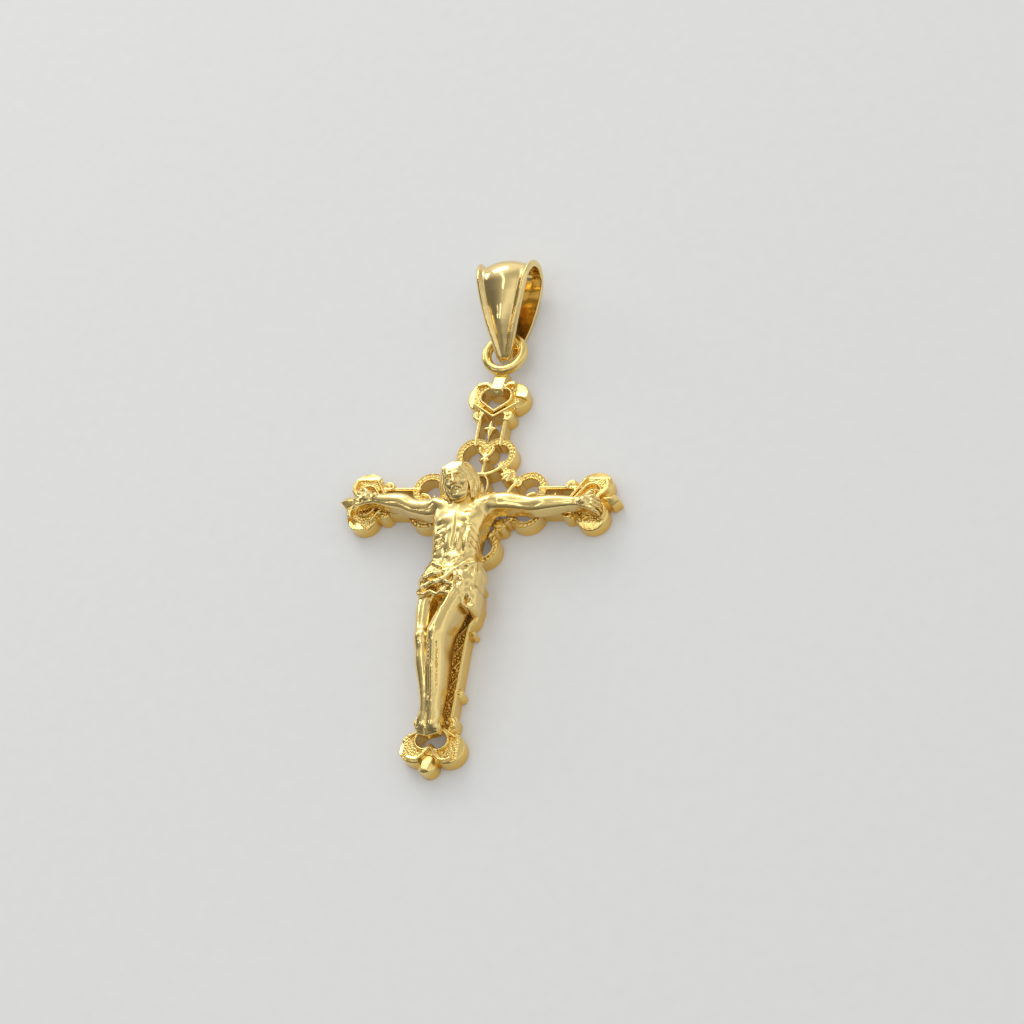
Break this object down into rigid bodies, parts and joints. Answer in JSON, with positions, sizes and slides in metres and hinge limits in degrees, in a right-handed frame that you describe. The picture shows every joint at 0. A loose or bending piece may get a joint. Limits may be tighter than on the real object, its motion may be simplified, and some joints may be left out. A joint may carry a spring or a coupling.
{
  "type": "crucifix pendant",
  "caption": "Cast crucifix pendant: pierced cross with trefoil ends, separate figure on its front, and a tapered bail through the top ring.",
  "frame": {"origin": "centre of the bounding box in X and Y, on the flat back of the cross", "axes": "+X along the side arms, +Y along the long arm towards the bail, +Z out of the front, so that the pendant lies on its back"},
  "size_m": [0.0244, 0.0464, 0.0054],
  "materials": {
    "cross_metal": "polished cast gold alloy with stippled grounds and bright cut facets",
    "figure_metal": "satin cast gold alloy, paler than the cross",
    "bail_metal": "polished sheet gold alloy"
  },
  "bodies": {
    "root": {"cross": "cross_metal", "corpus": "figure_metal", "bail": "bail_metal"}
  },
  "joints": []
}
